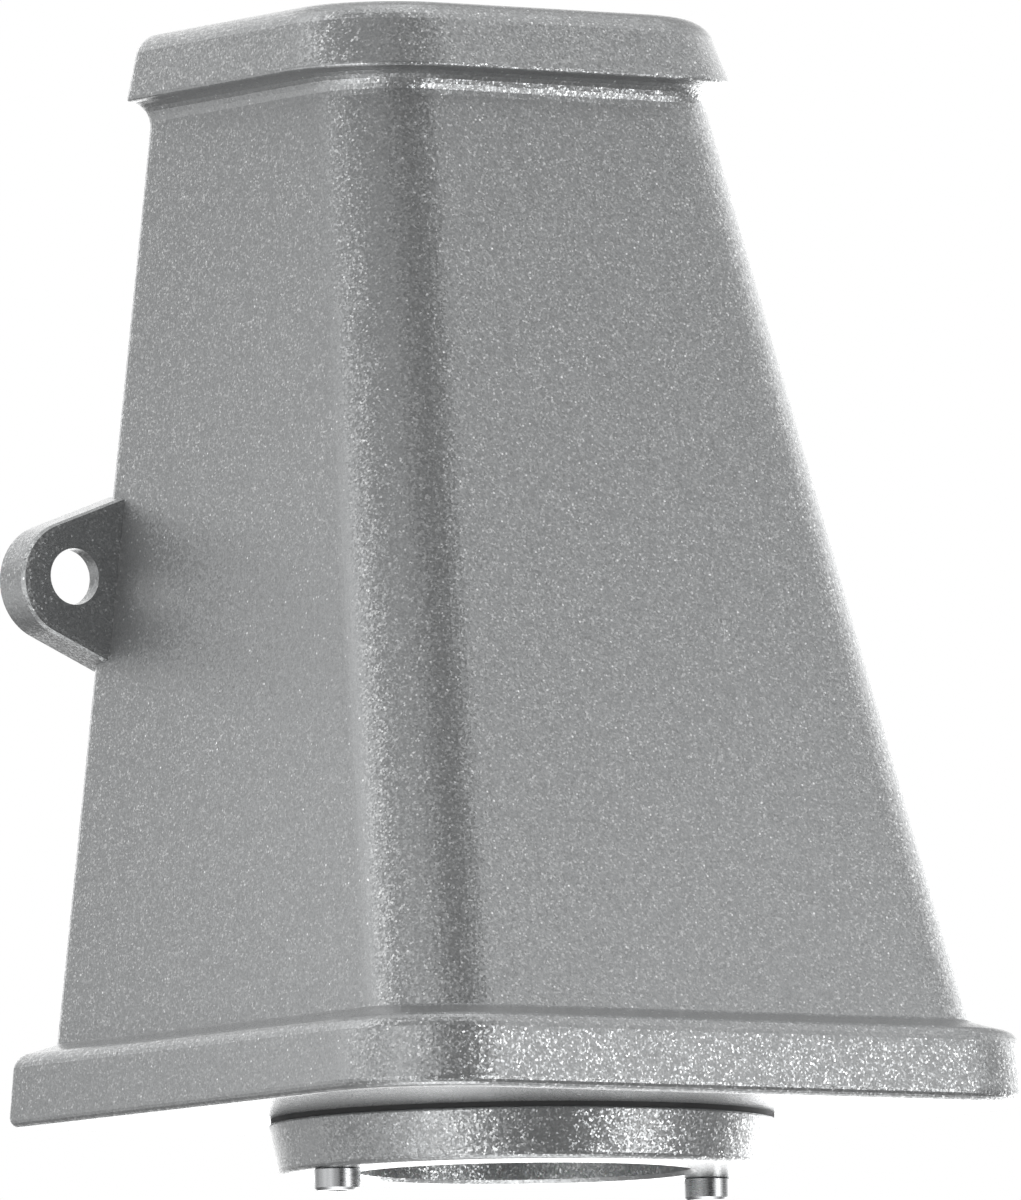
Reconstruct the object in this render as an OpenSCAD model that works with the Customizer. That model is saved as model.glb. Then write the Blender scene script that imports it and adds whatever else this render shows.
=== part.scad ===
// Outdoor wall light that shines down: a tapered cast housing with two fixing ears.
// Frame: +Z up, the front faces -Y, the wall is the plane Y = 0. The origin is on the wall,
// on the centre line, level with the underside of the base flange. Millimetres.

/* [Housing] */
// Width of the tapered body where it meets the base flange
body_w = 91; // [88:0.5:95]
// Depth of the body there, from the wall to the front
body_d = 89.6; // [88:0.2:92]
// Height of the casting, from the underside of the base to the top of the roof
height = 144.3; // [142:0.1:150]
// Lean of each side face, in degrees
side_angle = 7.5; // [6:0.1:8]
// Lean of the front face, in degrees
front_angle = 16; // [14:0.1:16.5]
// Radius of the two front corners
corner_r = 12; // [11:0.5:14]
// Radius of the two corners at the wall
back_r = 4; // [3.5:0.5:5]
// Thickness of the cast walls
wall = 3.4; // [3:0.1:3.8]
// Thickness of the roof
roof_t = 4; // [3.5:0.5:5]

/* [Base flange] */
// Height of the flange, up to the line where the body starts
base_h = 11; // [10:0.5:12]
// How far the flange stands out from the body
base_over = 6.25; // [5:0.25:7]
// Thickness of the floor with the round opening
floor_t = 4.5; // [4.2:0.1:5]
// Height of the flange's upright edge, before it rounds over
base_edge_h = 7.2; // [6.5:0.1:7.8]
// Radius of the flange's upper edge
base_top_r = 2.6; // [2:0.1:2.8]
// Radius of the flange's lower edge
base_low_r = 1.3; // [0.8:0.1:1.6]

/* [Roof lip] */
// Height of the lip's lower edge above the underside of the base
lip_z = 135.2; // [133:0.1:136]
// How far the lip stands out from the body
lip_over = 4; // [3.6:0.1:4.5]
// Radius of the cove under the lip
cove_r = 3.4; // [2.8:0.1:3.4]
// Radius of the roof's upper edge
roof_r = 3.3; // [2:0.1:3.5]
// How far the lip leans in towards the roof, besides the lean of the body
lip_lean = 0.6; // [0:0.1:1]

/* [Fixing ears] */
// Distance between the two wall screws
fix_spacing = 88; // [87:0.5:90]
// Height of the wall screws above the underside of the base
fix_z = 72; // [68:0.5:76]
// Diameter of each fixing hole
fix_hole_d = 7.4; // [6:0.1:8]
// Radius of an ear's rounded end
ear_r = 7.7; // [7.4:0.1:8.5]
// Depth of an ear, from the wall to its front face
ear_d = 6.2; // [5.8:0.1:7]
// Thickness of the web that the screw bears on
ear_web = 2.3; // [2:0.1:3]

/* [Trim ring and glass] */
// Distance of the lamp's axis from the wall
lamp_y = 44.2; // [43.5:0.1:45]
// How far the cover glass reaches past the rim of the lamp
glass_over = 0.7; // [0.5:0.1:1]
// Width of the ring's land under the glass
glass_land = 3.7; // [3:0.1:4.5]
// Width of the ring outside the axis of its screws, at its upper edge
ring_edge = 4.4; // [3.9:0.1:5]
// How far the ring's side leans in on its way down
ring_taper = 1.1; // [0.5:0.1:1.2]
// Distance from the underside of the base to the ring's lower face
ring_h = 7.3; // [7.2:0.1:8]
// Thickness of the cover glass
glass_t = 3; // [2.8:0.1:3]
// Thickness of the black gasket between ring and base
gasket_t = 0.6; // [0.5:0.05:0.8]
// Wall of the ring between the glass and the hole of a screw
ring_wall = 0.9; // [0.8:0.1:1.2]

/* [Lamp] */
// Diameter of the lamp's rim
lamp_d = 50; // [48:0.5:52]
// Length of the lamp from its front glass to its shoulder
lamp_l = 46.5; // [46:0.5:47]
// Height of the lamp's front glass above the underside of the base
lamp_z = 1; // [0.6:0.1:1.4]
// Distance between the lamp's two contact studs
pin_spacing = 10; // [9.5:0.1:10.5]

/* [Rear plate and cable entry] */
// Thickness of the rear plate
plate_t = 1.5; // [1.2:0.1:1.6]
// Thickness of the gasket under it
rear_gasket_t = 1.5; // [1.2:0.1:1.6]
// Depth of the rebate that they sit in
rebate_d = 5.5; // [5.4:0.1:6]
// Thickness of the casting's rim round the rebate
rim_t = 1.7; // [1.5:0.1:1.8]
// Height of the cable entry above the underside of the base
entry_z = 122; // [121.5:0.5:123]
// Diameter of the bore for the supply cable
cable_d = 7.6; // [6:0.1:8]

/* [Fits] */
// Gap all round the rear plate in its rebate
plate_gap = 0.3; // [0.2:0.05:0.5]
// Gap between a screw and its tapped hole, in radius
thread_gap = 0.05; // [0.02:0.01:0.1]
// Gap between a screw and its clearance hole, in radius
screw_gap = 0.2; // [0.15:0.05:0.3]
// Gap between the lamp's rim and the opening in the floor, in radius
lamp_gap = 0.8; // [0.5:0.1:0.9]

/* [Hidden] */

$fn = 96;
cut = 0.5;              // how far a cutting tool runs past the face that it opens
side_lean = tan(side_angle);
front_lean = tan(front_angle);

// M3 screws: shank and cap head, and the pan heads used inside
m3_r = 1.5;
cap_r = 3;
cap_h = 2.9;
pan_r = 2.8;
pan_h = 2;
m4_r = 2;

// Sizes of the ring, from the lamp outwards
glass_gap = 0.3;        // round the glass
glass_d = lamp_d + 2 * glass_over;
opening_d = glass_d - 2 * glass_land;
recess_r = glass_d / 2 + glass_gap;
ring_screw_x = recess_r + ring_wall + screw_gap + m3_r;
ring_r = ring_screw_x + ring_edge;
ring_low_r = ring_r - ring_taper;

// Levels inside the casting
roof_z = height - roof_t;
boss_r = 4;
plate_back = -rebate_d + rear_gasket_t + plate_t;
plate_front = plate_back - plate_t;
plate_r = 3;

// Body half width and depth at a height, along the leaning faces
function half_w(z) = body_w / 2 - side_lean * (z - base_h);
function depth(z) = body_d - front_lean * (z - base_h);

function arc(cx, cy, r, from, to, steps) =
    [for (i = [0:steps]) let (a = from + (to - from) * i / steps) [cx + r * cos(a), cy + r * sin(a)]];
function flip(points) = [for (i = [len(points) - 1:-1:0]) [-points[i][0], points[i][1]]];

base_back_r = 1.5;      // the flange's two corners at the wall are sharper than the body's
base_corner = 0.65;     // the flange's front corners grow by this share of its overhang

// Plan of the casting: a rectangle against the wall, with large front and small back corners
front_steps = 20;
back_steps = 8;
function plan(w, d, rf, rb) =
    let (right = concat(
        arc(w - rf, rf - d, rf, 270, 360, front_steps),
        arc(w - rb, -rb, rb, 0, 90, back_steps)))
    concat(right, flip(right));

// A level of the body, stood out by a distance: [height, half width, depth, front r, back r]
function level(z, out, rb) = [z, half_w(z) + out, depth(z) + out, corner_r + out, rb];
// A level of the base flange, which has no lean
function base_level(z, out) =
    [z, body_w / 2 + out, body_d + out, corner_r + base_corner * out,
        back_r - out * (back_r - base_back_r) / base_over];

// Skin through a list of levels
module loft(levels) {
    n = len(plan(levels[0][1], levels[0][2], levels[0][3], levels[0][4]));
    points = [for (l = levels) each [for (p = plan(l[1], l[2], l[3], l[4])) [p[0], p[1], l[0]]]];
    bottom = [[for (i = [0:n - 1]) i]];
    top = [[for (i = [n - 1:-1:0]) (len(levels) - 1) * n + i]];
    sides = [for (k = [0:len(levels) - 2]) each [for (i = [0:n - 1])
        let (j = (i + 1) % n) [k * n + i, (k + 1) * n + i, (k + 1) * n + j, k * n + j]]];
    polyhedron(points, concat(bottom, top, sides), convexity = 6);
}

// Outer skin, from the underside of the base to the roof
edge_draft = 0.5;       // the flange's edge leans in by this much on its way up
slope_angle = 66;       // the upper round stops here and the sloping top goes on
slope_start = 0.5;      // the sloping top meets the body over a small round of this size
low_edge = [for (p = arc(base_over - base_low_r, base_low_r, base_low_r, 270, 360, 5))
    base_level(p[1], p[0])];
top_edge = [for (p = arc(base_over - edge_draft - base_top_r, base_edge_h, base_top_r, 0, slope_angle, 5))
    base_level(p[1], p[0])];
join = [
    base_level(base_h - 0.6 * slope_start, slope_start),
    base_level(base_h - 0.2 * slope_start, 0.3 * slope_start),
    level(base_h, 0, back_r),
];
lip_edge_r = lip_over - cove_r;
cove = [for (p = arc(cove_r, lip_z - cove_r, cove_r, 180, 90, 7)) level(p[1], p[0], back_r)];
lip_edge = [for (p = arc(cove_r, lip_z + lip_edge_r, lip_edge_r, 300, 360, 3))
    level(p[1], p[0], back_r)];
roof_edge = [for (p = arc(lip_over - lip_lean - roof_r, height - roof_r, roof_r, 0, 90, 7))
    level(p[1], p[0], back_r)];

module body_skin() {
    loft(concat(low_edge, top_edge, join, cove, lip_edge, roof_edge));
}

// Hollow of the casting, open at the back
module body_hollow() {
    inner_r = corner_r - wall;
    low_w = body_w / 2 - wall;
    low_d = body_d - wall;
    translate([0, cut, 0])
        loft([
            [floor_t, low_w, low_d + cut, inner_r, 0.1],
            [base_h, low_w, low_d + cut, inner_r, 0.1],
            [roof_z, half_w(roof_z) - wall, depth(roof_z) - wall + cut, inner_r, 0.1],
        ]);
}

// Outline of the rebate, the rear plate and its gasket, as X and Z, drawn in from the body's side.
// A low corner below the top of the base has an upright side next to it, a higher one a leaning side.
function arc_x(z, inset) = half_w(z) - inset - plate_r / cos(side_angle);
function low_corner(z, inset) =
    z < base_h
        ? concat(
            arc(body_w / 2 - inset - plate_r, z, plate_r, -90, 0, 8),
            [[body_w / 2 - inset, base_h]])
        : arc(arc_x(z, inset), z, plate_r, -90, side_angle, 8);
function rear_outline(inset) =
    let (
        step = inset - rim_t,
        low_z = floor_t - wall / 2 + step + plate_r,
        high_z = roof_z + wall / 2 - step - plate_r,
        high_x = arc_x(high_z, inset),
        right = concat(low_corner(low_z, inset), arc(high_x, high_z, plate_r, side_angle, 90, 8)))
    concat(right, flip(right));

// Slab across the back, from one depth to another
module rear_slab(inset, from, to) {
    translate([0, to, 0]) rotate([90, 0, 0]) linear_extrude(to - from) polygon(rear_outline(inset));
}

// Rod along +Y, from one depth to another
module rod_y(x, z, r, from, to) {
    translate([x, to, z]) rotate([90, 0, 0]) cylinder(r = r, h = to - from);
}

// Rod along +Z
module rod_z(x, y, r, from, to) {
    translate([x, y, from]) cylinder(r = r, h = to - from);
}

// An ear is a cup: a web in front, a skirt round it and a pocket that opens to the wall
ear_root_x = 31;        // the wide end of the ear is buried in the body
ear_root_r = 12.6;
ear_drop = 0.4;         // the hole sits a little above the middle of the ear
ear_root_drop = 0.8;
ear_skirt = 2.2;
ear_round = 0.9;        // the front edge is rounded over in two steps
ear_step = 0.3 * ear_round;
ear_body = [
    [fix_spacing / 2, fix_z - ear_drop, ear_r],
    [ear_root_x, fix_z - ear_root_drop, ear_root_r],
];
pocket_r = 1.5;         // the pocket's two corners next to the body
ear_pocket = [
    [fix_spacing / 2, fix_z - ear_drop, ear_r - ear_skirt],
    [fix_spacing / 2 - 3.9, fix_z - 7.6, pocket_r],
    [fix_spacing / 2 - 5.7, fix_z + 6.5, pocket_r],
];

module ear() {
    difference() {
        hull() {
            for (c = ear_body) {
                rod_y(c[0], c[1], c[2], ear_round - ear_d, 0, $fn = 64);
                rod_y(c[0], c[1], c[2] - ear_step, ear_step - ear_d, 0, $fn = 64);
                rod_y(c[0], c[1], c[2] - ear_round, -ear_d, 0, $fn = 64);
            }
        }
        hull() {
            for (c = ear_pocket)
                rod_y(c[0], c[1], c[2], ear_web - ear_d, cut, $fn = 48);
        }
    }
}

// Where the screws of the rear plate are, as X and Z
rear_screw_inset = 5.2;
rear_screw_low = 20;
rear_screw_drop = 18.3; // from the top of the roof
rear_screws = [
    for (z = [rear_screw_low, height - rear_screw_drop]) for (side = [-1, 1])
        [side * (half_w(z) - rear_screw_inset), z],
];
rear_boss_l = 12;

// The bosses on the floor: their heights, and their places as X and Y
ring_boss_z = 10.5;
bracket_x = body_w / 2 - 7.5;
bracket_boss_z = 10.8;
earth_inset = 15.5;
earth_y = -14;
earth_at = [earth_inset - body_w / 2, earth_y];
earth_boss_z = 11;
blind_end = 1.5;        // metal left over a blind tapped hole

module housing() {
    color([0.55, 0.57, 0.58])
    difference() {
        union() {
            difference() {
                union() {
                    body_skin();
                    ear();
                    mirror([1, 0, 0]) ear();
                }
                body_hollow();
                rear_slab(rim_t, -rebate_d, cut);
            }
            for (s = rear_screws)
                rod_y(s[0], s[1], boss_r, -rebate_d - rear_boss_l, -rebate_d);
            for (side = [-1, 1]) {
                rod_z(side * ring_screw_x, -lamp_y, boss_r, floor_t - cut, ring_boss_z);
                rod_z(side * bracket_x, -lamp_y, boss_r, floor_t - cut, bracket_boss_z);
            }
            rod_z(earth_at[0], earth_at[1], boss_r, floor_t - cut, earth_boss_z);
        }
        rod_z(0, -lamp_y, lamp_d / 2 + lamp_gap, -cut, ring_boss_z + cut);
        for (s = rear_screws)
            rod_y(s[0], s[1], m3_r + thread_gap, -rebate_d - rear_boss_l + blind_end, -rebate_d + cut);
        for (side = [-1, 1]) {
            rod_y(side * fix_spacing / 2, fix_z, fix_hole_d / 2, -ear_d - cut, cut);
            rod_z(side * ring_screw_x, -lamp_y, m3_r + thread_gap, -cut, ring_boss_z - blind_end);
            rod_z(side * bracket_x, -lamp_y, m3_r + thread_gap, 2 * blind_end, bracket_boss_z + cut);
        }
        rod_z(earth_at[0], earth_at[1], m4_r + thread_gap, 2 * blind_end, earth_boss_z + cut);
    }
}

// Trim ring, gasket, glass. The glass is held between its own gasket and the flat black one.
glass_gasket_t = 0.85;
land_z = -gasket_t - glass_t - glass_gasket_t;

module trim_ring() {
    top_round = 0.4;
    low_round = 1;
    mouth = 0.5;
    color([0.55, 0.57, 0.58])
    translate([0, -lamp_y, 0])
    difference() {
        rotate_extrude($fn = 128)
            polygon(concat(
                [[opening_d / 2, -ring_h + mouth], [opening_d / 2 + mouth, -ring_h]],
                arc(ring_low_r - low_round, -ring_h + low_round, low_round, 270, 360, 6),
                arc(ring_r - top_round, -gasket_t - top_round, top_round, 0, 90, 5),
                [[recess_r, -gasket_t], [recess_r, land_z], [opening_d / 2, land_z]]));
        for (side = [-1, 1])
            rod_z(side * ring_screw_x, 0, m3_r + screw_gap, -ring_h - cut, 0);
    }
}

gasket_in = 0.25;        // the black edge stands back from the ring's by this much

module ring_gasket() {
    color([0.05, 0.05, 0.05])
    translate([0, -lamp_y, -gasket_t])
    difference() {
        cylinder(r = ring_r - gasket_in, h = gasket_t);
        translate([0, 0, -cut]) cylinder(r = opening_d / 2 + 2, h = gasket_t + 2 * cut);
        for (side = [-1, 1])
            rod_z(side * ring_screw_x, 0, m3_r + screw_gap, -cut, gasket_t + cut);
    }
}

module cover_glass() {
    chamfer = 0.4;
    r = glass_d / 2;
    top = -gasket_t;
    low = -gasket_t - glass_t;
    color([0.85, 0.92, 0.92, 0.5])
    translate([0, -lamp_y, 0])
    rotate_extrude($fn = 128)
        polygon([
            [0, low], [r - chamfer, low], [r, low + chamfer],
            [r, top - chamfer], [r - chamfer, top], [0, top],
        ]);
}

glass_gasket_in = 0.8;

module glass_gasket() {
    color([0.1, 0.1, 0.1])
    translate([0, -lamp_y, land_z])
    difference() {
        cylinder(r = glass_d / 2, h = glass_gasket_t);
        translate([0, 0, -cut]) cylinder(r = opening_d / 2 + glass_gasket_in, h = glass_gasket_t + 2 * cut);
    }
}

// Screw that stands on its head, drawn with the shank along +Z from the seat at z = 0
module cap_screw(length) {
    key_r = 1.45;
    key_d = 1.5;
    edge = 0.35;
    tip = 0.4;
    difference() {
        rotate_extrude()
            polygon([
                [0, -cap_h], [cap_r - edge, -cap_h], [cap_r, -cap_h + edge], [cap_r, -edge / 2],
                [cap_r - edge / 2, 0], [m3_r, 0], [m3_r, length - tip], [m3_r - tip, length], [0, length],
            ]);
        translate([0, 0, -cap_h - cut]) cylinder(r = key_r, h = key_d + cut, $fn = 6);
    }
}

module ring_screws() {
    color([0.8, 0.8, 0.8])
    for (side = [-1, 1])
        translate([side * ring_screw_x, -lamp_y, -ring_h])
            cap_screw(ring_h + ring_boss_z - 2 * blind_end + 1);
}

// Pan-head screw with a cross recess, shank along -Z from the seat at z = 0
module pan_screw(r, head_r, head_h, length) {
    slot_w = 0.26 * head_r;
    slot_l = 1.1 * head_r;
    slot_d = 0.5 * head_h;
    difference() {
        rotate_extrude()
            polygon(concat(
                [[0, -length], [r - 0.3, -length], [r, 0.3 - length], [r, 0], [head_r, 0]],
                [for (a = [0:15:75]) [head_r * (0.72 + 0.28 * cos(a)), head_h * (0.3 + 0.7 * sin(a))]],
                [[0, head_h]]));
        for (a = [0, 90])
            rotate([0, 0, a])
                translate([-slot_l / 2, -slot_w / 2, head_h - slot_d]) cube([slot_l, slot_w, head_h]);
    }
}

plate_screw_l = rear_boss_l;
inner_screw_l = 8;      // the screws of the holder, its bracket and the earth point

// The same screw driven forwards from the back, in the rear plate
module rear_screw(x, z, length) {
    translate([x, plate_back, z]) rotate([-90, 0, 0]) pan_screw(m3_r, pan_r, pan_h, length);
}

module rear_plate() {
    color([0.75, 0.76, 0.77])
    difference() {
        rear_slab(rim_t + plate_gap, plate_front, plate_back);
        for (s = rear_screws)
            rod_y(s[0], s[1], m3_r + screw_gap, plate_front - cut, plate_back + cut);
        rod_y(0, entry_z, entry_r, plate_front - cut, plate_back + cut);
        for (side = [-1, 1]) {
            rod_y(side * block_screw_x, block_z, m3_r + thread_gap, plate_front - cut, plate_back + cut);
            rod_y(side * clamp_screw_x, clamp_z, m3_r + thread_gap, plate_front - cut, plate_back + cut);
        }
    }
}

module rear_gasket() {
    band = 6.2;
    color([0.1, 0.1, 0.1])
    difference() {
        rear_slab(rim_t + plate_gap, -rebate_d, plate_front);
        rear_slab(rim_t + plate_gap + band, -rebate_d - cut, plate_front + cut);
        for (s = rear_screws)
            rod_y(s[0], s[1], m3_r + screw_gap, -rebate_d - cut, plate_front + cut);
    }
}

module rear_plate_screws() {
    color([0.8, 0.8, 0.8])
    for (s = rear_screws)
        rear_screw(s[0], s[1], plate_screw_l);
}

// Rubber cable entry with a groove that the plate's edge sits in
entry_wall = 3.2;       // rubber between the cable and the plate's edge
entry_r = cable_d / 2 + entry_wall;
entry_flange_r = entry_r + 2;
entry_out = 1.7;
entry_in = 2.5;
entry_taper = 1.5;

module cable_grommet() {
    inner = plate_front - entry_in;
    outer = plate_back + entry_out;
    color([0.08, 0.08, 0.08])
    translate([0, 0, entry_z]) rotate([-90, 0, 0])
    rotate_extrude()
        polygon([
            [cable_d / 2, inner], [entry_flange_r - entry_taper, inner], [entry_flange_r, plate_front],
            [entry_r, plate_front], [entry_r, plate_back], [entry_flange_r, plate_back],
            [entry_flange_r - entry_taper / 2, outer], [cable_d / 2, outer],
        ]);
}

// Terminal block on the inside of the rear plate
block_pitch = 11;
block_w = 3 * block_pitch;
block_tower_w = 8.4;    // each pole stands up as a tower from a common foot
block_foot = 5;
block_h = 18;
block_d = 16;
block_z = 96;
block_screw_x = block_pitch / 2;
block_mid = plate_front - block_d / 2;
insert_r = 2.6;
insert_bore_r = 1.7;
insert_l = 13;
clamp_post_r = 2.4;
clamp_post_z = 4;       // the two clamping screws of a pole, above and below its middle

module terminal_block() {
    color([0.9, 0.9, 0.88])
    difference() {
        union() {
            translate([-block_w / 2, plate_front - block_foot, block_z - block_h / 2])
                cube([block_w, block_foot, block_h]);
            for (i = [-1:1])
                translate([i * block_pitch - block_tower_w / 2, plate_front - block_d, block_z - block_h / 2])
                    cube([block_tower_w, block_d, block_h]);
        }
        for (i = [-1:1]) {
            rod_z(i * block_pitch, block_mid, insert_r, block_z - insert_l / 2, block_z + insert_l / 2);
            rod_z(i * block_pitch, block_mid, insert_bore_r, block_z - block_h, block_z + block_h);
            for (end = [-1, 1])
                rod_y(i * block_pitch, block_z + end * clamp_post_z, clamp_post_r,
                    plate_front - block_d - cut, block_mid);
        }
        for (side = [-1, 1])
            rod_y(side * block_screw_x, block_z, m3_r + screw_gap, plate_front - block_d, plate_front + cut);
    }
}

module terminal_inserts() {
    color([0.8, 0.65, 0.3])
    for (i = [-1:1])
        difference() {
            rod_z(i * block_pitch, block_mid, insert_r, block_z - insert_l / 2, block_z + insert_l / 2);
            rod_z(i * block_pitch, block_mid, insert_bore_r, block_z - insert_l, block_z + insert_l);
            for (end = [-1, 1])
                rod_y(i * block_pitch, block_z + end * clamp_post_z, m3_r + thread_gap,
                    block_mid - 1.5 * insert_r, block_mid);
        }
}

module terminal_screws() {
    sunk = 1.2;
    slot_w = 0.7;
    top = plate_front - block_d + sunk;
    color([0.8, 0.65, 0.3])
    for (i = [-1:1])
        for (end = [-1, 1])
            translate([i * block_pitch, 0, block_z + end * clamp_post_z])
                difference() {
                    union() {
                        rod_y(0, 0, m3_r, top, block_mid - insert_bore_r + 0.6);
                        rod_y(0, 0, clamp_post_r - 0.2, top, block_mid - insert_r - 0.4);
                    }
                    translate([-clamp_post_r, top - cut, -slot_w / 2])
                        cube([2 * clamp_post_r, slot_w + cut, slot_w]);
                }
}

small_head_r = 2.3;
small_head_h = 1.8;

module block_screws() {
    color([0.8, 0.8, 0.8])
    for (side = [-1, 1])
        translate([side * block_screw_x, plate_front - block_foot, block_z])
            rotate([90, 0, 0]) pan_screw(m3_r, small_head_r, small_head_h, block_foot + plate_t);
}

// Saddle that grips the supply cable, below the entry
clamp_drop = 12;
clamp_z = entry_z - clamp_drop;
clamp_w = 6;
clamp_t = 1.5;
clamp_screw_x = cable_d / 2 + clamp_t + small_head_r + 1.9;

module cable_clamp() {
    arch_r = cable_d / 2 + clamp_t;
    rise = 3;
    reach = clamp_screw_x + small_head_r + 1.2;
    color([0.9, 0.9, 0.88])
    difference() {
        union() {
            translate([-reach, plate_front - clamp_t, clamp_z - clamp_w / 2])
                cube([2 * reach, clamp_t, clamp_w]);
            translate([-arch_r, plate_front - rise, clamp_z - clamp_w / 2]) cube([2 * arch_r, rise, clamp_w]);
            rod_z(0, plate_front - rise, arch_r, clamp_z - clamp_w / 2, clamp_z + clamp_w / 2);
        }
        rod_z(0, plate_front - rise, cable_d / 2, clamp_z - clamp_w, clamp_z + clamp_w);
        translate([-cable_d / 2, plate_front - rise, clamp_z - clamp_w])
            cube([cable_d, 2 * rise, 2 * clamp_w]);
        translate([-reach, plate_front, clamp_z - clamp_w]) cube([2 * reach, 2 * arch_r, 2 * clamp_w]);
        for (side = [-1, 1])
            rod_y(side * clamp_screw_x, clamp_z, m3_r + screw_gap,
                plate_front - 2 * clamp_t, plate_front + cut);
    }
}

module clamp_screws() {
    color([0.8, 0.8, 0.8])
    for (side = [-1, 1])
        translate([side * clamp_screw_x, plate_front - clamp_t, clamp_z])
            rotate([90, 0, 0]) pan_screw(m3_r, small_head_r, small_head_h, clamp_t + plate_t);
}

// Lamp: a 50 mm reflector lamp with a twist-lock base
shoulder_z = lamp_z + lamp_l;
lens_t = 1.5;
lens_in = 1;            // width of the lamp's rim round its front glass
neck_r = 12.5;
pin_r = 1.6;            // the contact studs: neck, wide end and length
pin_head_r = 2.5;
pin_l = 6.6;
pin_root = 2;

module lamp_body() {
    rim_h = 4;
    rim_step = 0.6;
    bowl_r = lamp_d / 2 - rim_step;
    bowl_h = 0.58 * lamp_l;
    color([0.85, 0.85, 0.86])
    translate([0, -lamp_y, 0])
    difference() {
        rotate_extrude()
            polygon(concat(
                [[0, lamp_z], [lamp_d / 2, lamp_z], [lamp_d / 2, lamp_z + rim_h]],
                [for (a = [0:10:90])
                    [neck_r + (bowl_r - neck_r) * cos(a), lamp_z + rim_h + bowl_h * sin(a)]],
                [[neck_r, shoulder_z - 1], [neck_r - 1, shoulder_z], [0, shoulder_z]]));
        translate([0, 0, lamp_z - cut]) cylinder(r = lamp_d / 2 - lens_in, h = lens_t + cut);
        for (side = [-1, 1])
            rod_z(side * pin_spacing / 2, 0, pin_r, shoulder_z - pin_root, shoulder_z + cut);
    }
}

module lamp_lens() {
    color([0.9, 0.94, 0.95, 0.6])
    translate([0, -lamp_y, lamp_z]) cylinder(r = lamp_d / 2 - lens_in, h = lens_t);
}

module lamp_pins() {
    color([0.8, 0.8, 0.8])
    for (side = [-1, 1])
        translate([side * pin_spacing / 2, -lamp_y, 0])
            rotate_extrude()
                translate([0, shoulder_z])
                    polygon([
                        [0, -pin_root], [pin_r, -pin_root], [pin_r, 0.58 * pin_l],
                        [pin_head_r, 0.64 * pin_l], [pin_head_r, 0.9 * pin_l],
                        [pin_head_r - 0.6, pin_l], [0, pin_l],
                    ]);
}

// Ceramic holder above the lamp's shoulder
holder_r = 14;
holder_h = 13.5;
holder_top = shoulder_z + holder_h;
holder_screw_y = 10;
lead_hole_x = 5;
lead_hole_l = 7;
lead_hole_z = holder_top - 3.5;
lead_r = 1.1;

module lamp_holder() {
    color([0.93, 0.92, 0.88])
    translate([0, -lamp_y, 0])
    difference() {
        rod_z(0, 0, holder_r, shoulder_z, holder_top);
        for (side = [-1, 1]) {
            rod_z(side * pin_spacing / 2, 0, pin_head_r + 0.3, shoulder_z - cut, shoulder_z + pin_l + 0.8);
            rod_z(0, side * holder_screw_y, m3_r + thread_gap,
                holder_top - inner_screw_l - 1, holder_top + cut);
            rod_y(side * lead_hole_x, lead_hole_z, lead_r + 0.1, holder_r - lead_hole_l, holder_r + cut);
        }
    }
}

// Bent strap: a bridge over the holder, two legs and two feet on the casting's bosses
strap_t = 1.2;
strap_w = 14;
bridge_w = 2 * holder_r;
leg_x = bracket_x - 4.6;
foot_end = bracket_x + 3.4;

module holder_bracket() {
    top = holder_top + strap_t;
    foot_l = foot_end - leg_x + strap_t;
    color([0.72, 0.73, 0.74])
    translate([0, -lamp_y, 0])
    difference() {
        union() {
            translate([-bridge_w / 2 - 2, -bridge_w / 2, holder_top]) cube([bridge_w + 4, bridge_w, strap_t]);
            translate([-leg_x, -strap_w / 2, holder_top]) cube([2 * leg_x, strap_w, strap_t]);
            for (side = [-1, 1]) {
                translate([side * (leg_x - strap_t / 2) - strap_t / 2, -strap_w / 2, bracket_boss_z])
                    cube([strap_t, strap_w, top - bracket_boss_z]);
                translate([side * (leg_x - strap_t + foot_l / 2) - foot_l / 2, -strap_w / 2, bracket_boss_z])
                    cube([foot_l, strap_w, strap_t]);
            }
        }
        for (side = [-1, 1]) {
            rod_z(side * bracket_x, 0, m3_r + screw_gap,
                bracket_boss_z - cut, bracket_boss_z + strap_t + cut);
            rod_z(0, side * holder_screw_y, m3_r + screw_gap, holder_top - cut, top + cut);
        }
    }
}

module holder_screws() {
    color([0.8, 0.8, 0.8])
    for (side = [-1, 1])
        translate([0, -lamp_y + side * holder_screw_y, holder_top + strap_t])
            pan_screw(m3_r, pan_r, pan_h, inner_screw_l);
}

module bracket_screws() {
    color([0.8, 0.8, 0.8])
    for (side = [-1, 1])
        translate([side * bracket_x, -lamp_y, bracket_boss_z + strap_t])
            pan_screw(m3_r, pan_r, pan_h, inner_screw_l);
}

// Earth point on the casting's floor
lug_t = 0.8;
lug_r = 3.9;
barrel_r = 1.7;
barrel_l = 6;
barrel_x = 6;

module earth_lug() {
    color([0.78, 0.78, 0.76])
    translate([earth_at[0], earth_at[1], earth_boss_z])
    difference() {
        union() {
            cylinder(r = lug_r, h = lug_t);
            translate([0, -barrel_r, 0]) cube([barrel_x + 1, 2 * barrel_r, lug_t]);
            translate([barrel_x, 0, barrel_r]) rotate([0, 90, 0]) cylinder(r = barrel_r, h = barrel_l);
        }
        translate([0, 0, -cut]) cylinder(r = m4_r + screw_gap, h = lug_t + 2 * cut);
        translate([barrel_x - cut, 0, barrel_r])
            rotate([0, 90, 0]) cylinder(r = lead_r, h = barrel_l + 2 * cut);
    }
}

earth_head_r = 3.6;
earth_head_h = 2.6;

module earth_screw() {
    color([0.8, 0.65, 0.3])
    translate([earth_at[0], earth_at[1], earth_boss_z + lug_t])
        pan_screw(m4_r, earth_head_r, earth_head_h, inner_screw_l);
}

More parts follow.
